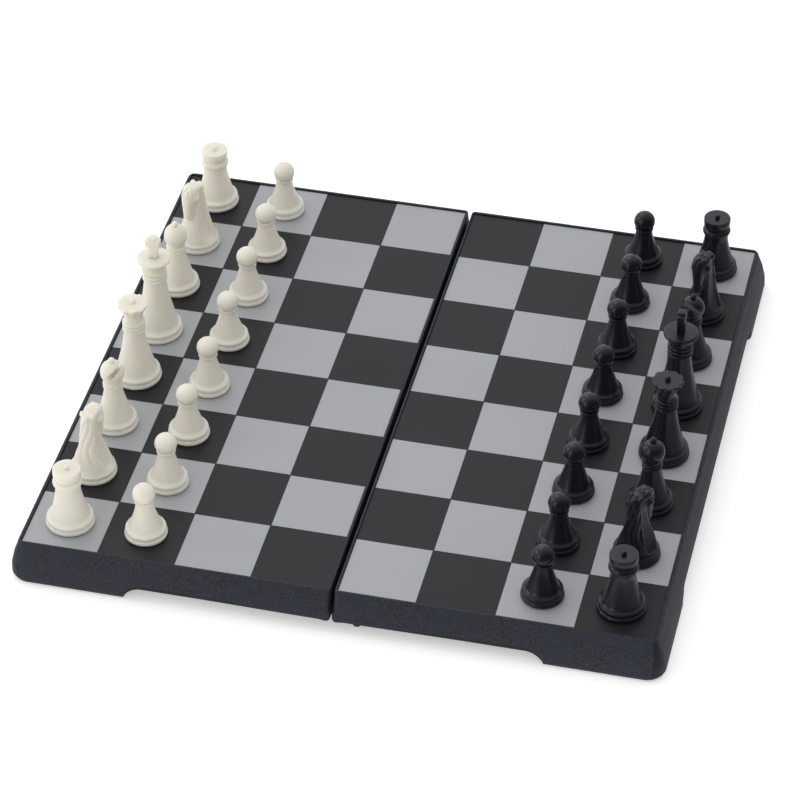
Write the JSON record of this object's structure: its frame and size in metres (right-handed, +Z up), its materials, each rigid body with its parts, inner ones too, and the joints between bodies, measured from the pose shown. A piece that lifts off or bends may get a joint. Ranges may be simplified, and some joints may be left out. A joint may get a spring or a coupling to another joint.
{
  "type": "folding magnetic travel chess set",
  "caption": "Folding travel chess board: two hollow half cases on a link hinge, with magnetic chess pieces that lift off the silver and dark playing field.",
  "frame": {"origin": "middle of the open board, on the plane its corner feet stand on", "axes": "+X across the fold from the white side to the black side, +Y along the hinge, +Z up from the table"},
  "size_m": [0.1986, 0.1958, 0.0506],
  "materials": {
    "case_plastic": "spark-eroded mould texture, matte charcoal",
    "playing_sheet": "satin dark printed sheet",
    "silver_foil": "satin silver foil",
    "steel_plate": "plain tinned sheet",
    "pin_steel": "ground steel pin",
    "magnet_steel": "nickel-plated magnet",
    "foot_rubber": "matte rubber",
    "ivory_plastic": "satin ivory styrene",
    "black_plastic": "satin black styrene"
  },
  "bodies": {
    "left_half": {"left_case": "case_plastic", "left_steel_plate": "steel_plate", "left_playing_sheet": "playing_sheet", "left_silver_squares": "silver_foil", "left_hinge_pins": "pin_steel", "left_closing_magnets": "magnet_steel"},
    "hinge_link": {"hinge_links": "case_plastic"},
    "right_half": {"right_case": "case_plastic", "right_steel_plate": "steel_plate", "right_playing_sheet": "playing_sheet", "right_silver_squares": "silver_foil", "right_hinge_pins": "pin_steel", "right_closing_magnets": "magnet_steel", "centre_feet": "foot_rubber"},
    "white_rook_near": {"white_rook_near": "ivory_plastic"},
    "white_knight_near": {"white_knight_near": "ivory_plastic"},
    "white_bishop_near": {"white_bishop_near": "ivory_plastic"},
    "white_queen": {"white_queen": "ivory_plastic"},
    "white_king": {"white_king": "ivory_plastic"},
    "white_bishop_far": {"white_bishop_far": "ivory_plastic"},
    "white_knight_far": {"white_knight_far": "ivory_plastic"},
    "white_rook_far": {"white_rook_far": "ivory_plastic"},
    "white_pawn_1": {"white_pawn_1": "ivory_plastic"},
    "white_pawn_2": {"white_pawn_2": "ivory_plastic"},
    "white_pawn_3": {"white_pawn_3": "ivory_plastic"},
    "white_pawn_4": {"white_pawn_4": "ivory_plastic"},
    "white_pawn_5": {"white_pawn_5": "ivory_plastic"},
    "white_pawn_6": {"white_pawn_6": "ivory_plastic"},
    "white_pawn_7": {"white_pawn_7": "ivory_plastic"},
    "white_pawn_8": {"white_pawn_8": "ivory_plastic"},
    "black_rook_near": {"black_rook_near": "black_plastic"},
    "black_knight_near": {"black_knight_near": "black_plastic"},
    "black_bishop_near": {"black_bishop_near": "black_plastic"},
    "black_queen": {"black_queen": "black_plastic"},
    "black_king": {"black_king": "black_plastic"},
    "black_bishop_far": {"black_bishop_far": "black_plastic"},
    "black_knight_far": {"black_knight_far": "black_plastic"},
    "black_rook_far": {"black_rook_far": "black_plastic"},
    "black_pawn_1": {"black_pawn_1": "black_plastic"},
    "black_pawn_2": {"black_pawn_2": "black_plastic"},
    "black_pawn_3": {"black_pawn_3": "black_plastic"},
    "black_pawn_4": {"black_pawn_4": "black_plastic"},
    "black_pawn_5": {"black_pawn_5": "black_plastic"},
    "black_pawn_6": {"black_pawn_6": "black_plastic"},
    "black_pawn_7": {"black_pawn_7": "black_plastic"},
    "black_pawn_8": {"black_pawn_8": "black_plastic"}
  },
  "joints": [
    {"name": "board_fold", "type": "hinge", "parent": "left_half", "child": "hinge_link", "pos_m": [-0.00405, 0, 0.00395], "axis": [0, 1, 0], "range_deg": [0, 90]},
    {"name": "board_fold_right", "type": "hinge", "parent": "hinge_link", "child": "right_half", "pos_m": [0.00405, 0, 0.00395], "axis": [0, 1, 0], "range_deg": [0, 90]},
    {"name": "lift_white_rook_near", "type": "slide", "parent": "left_half", "child": "white_rook_near", "axis": [0, 0, 1], "range_m": [0, 0.06]},
    {"name": "lift_white_knight_near", "type": "slide", "parent": "left_half", "child": "white_knight_near", "axis": [0, 0, 1], "range_m": [0, 0.06]},
    {"name": "lift_white_bishop_near", "type": "slide", "parent": "left_half", "child": "white_bishop_near", "axis": [0, 0, 1], "range_m": [0, 0.06]},
    {"name": "lift_white_queen", "type": "slide", "parent": "left_half", "child": "white_queen", "axis": [0, 0, 1], "range_m": [0, 0.06]},
    {"name": "lift_white_king", "type": "slide", "parent": "left_half", "child": "white_king", "axis": [0, 0, 1], "range_m": [0, 0.06]},
    {"name": "lift_white_bishop_far", "type": "slide", "parent": "left_half", "child": "white_bishop_far", "axis": [0, 0, 1], "range_m": [0, 0.06]},
    {"name": "lift_white_knight_far", "type": "slide", "parent": "left_half", "child": "white_knight_far", "axis": [0, 0, 1], "range_m": [0, 0.06]},
    {"name": "lift_white_rook_far", "type": "slide", "parent": "left_half", "child": "white_rook_far", "axis": [0, 0, 1], "range_m": [0, 0.06]},
    {"name": "lift_white_pawn_1", "type": "slide", "parent": "left_half", "child": "white_pawn_1", "axis": [0, 0, 1], "range_m": [0, 0.06]},
    {"name": "lift_white_pawn_2", "type": "slide", "parent": "left_half", "child": "white_pawn_2", "axis": [0, 0, 1], "range_m": [0, 0.06]},
    {"name": "lift_white_pawn_3", "type": "slide", "parent": "left_half", "child": "white_pawn_3", "axis": [0, 0, 1], "range_m": [0, 0.06]},
    {"name": "lift_white_pawn_4", "type": "slide", "parent": "left_half", "child": "white_pawn_4", "axis": [0, 0, 1], "range_m": [0, 0.06]},
    {"name": "lift_white_pawn_5", "type": "slide", "parent": "left_half", "child": "white_pawn_5", "axis": [0, 0, 1], "range_m": [0, 0.06]},
    {"name": "lift_white_pawn_6", "type": "slide", "parent": "left_half", "child": "white_pawn_6", "axis": [0, 0, 1], "range_m": [0, 0.06]},
    {"name": "lift_white_pawn_7", "type": "slide", "parent": "left_half", "child": "white_pawn_7", "axis": [0, 0, 1], "range_m": [0, 0.06]},
    {"name": "lift_white_pawn_8", "type": "slide", "parent": "left_half", "child": "white_pawn_8", "axis": [0, 0, 1], "range_m": [0, 0.06]},
    {"name": "lift_black_rook_near", "type": "slide", "parent": "right_half", "child": "black_rook_near", "axis": [0, 0, 1], "range_m": [0, 0.06]},
    {"name": "lift_black_knight_near", "type": "slide", "parent": "right_half", "child": "black_knight_near", "axis": [0, 0, 1], "range_m": [0, 0.06]},
    {"name": "lift_black_bishop_near", "type": "slide", "parent": "right_half", "child": "black_bishop_near", "axis": [0, 0, 1], "range_m": [0, 0.06]},
    {"name": "lift_black_queen", "type": "slide", "parent": "right_half", "child": "black_queen", "axis": [0, 0, 1], "range_m": [0, 0.06]},
    {"name": "lift_black_king", "type": "slide", "parent": "right_half", "child": "black_king", "axis": [0, 0, 1], "range_m": [0, 0.06]},
    {"name": "lift_black_bishop_far", "type": "slide", "parent": "right_half", "child": "black_bishop_far", "axis": [0, 0, 1], "range_m": [0, 0.06]},
    {"name": "lift_black_knight_far", "type": "slide", "parent": "right_half", "child": "black_knight_far", "axis": [0, 0, 1], "range_m": [0, 0.06]},
    {"name": "lift_black_rook_far", "type": "slide", "parent": "right_half", "child": "black_rook_far", "axis": [0, 0, 1], "range_m": [0, 0.06]},
    {"name": "lift_black_pawn_1", "type": "slide", "parent": "right_half", "child": "black_pawn_1", "axis": [0, 0, 1], "range_m": [0, 0.06]},
    {"name": "lift_black_pawn_2", "type": "slide", "parent": "right_half", "child": "black_pawn_2", "axis": [0, 0, 1], "range_m": [0, 0.06]},
    {"name": "lift_black_pawn_3", "type": "slide", "parent": "right_half", "child": "black_pawn_3", "axis": [0, 0, 1], "range_m": [0, 0.06]},
    {"name": "lift_black_pawn_4", "type": "slide", "parent": "right_half", "child": "black_pawn_4", "axis": [0, 0, 1], "range_m": [0, 0.06]},
    {"name": "lift_black_pawn_5", "type": "slide", "parent": "right_half", "child": "black_pawn_5", "axis": [0, 0, 1], "range_m": [0, 0.06]},
    {"name": "lift_black_pawn_6", "type": "slide", "parent": "right_half", "child": "black_pawn_6", "axis": [0, 0, 1], "range_m": [0, 0.06]},
    {"name": "lift_black_pawn_7", "type": "slide", "parent": "right_half", "child": "black_pawn_7", "axis": [0, 0, 1], "range_m": [0, 0.06]},
    {"name": "lift_black_pawn_8", "type": "slide", "parent": "right_half", "child": "black_pawn_8", "axis": [0, 0, 1], "range_m": [0, 0.06]}
  ],
  "couplings": [
    {"joint": "board_fold_right", "follows": "board_fold", "ratio": 1}
  ]
}
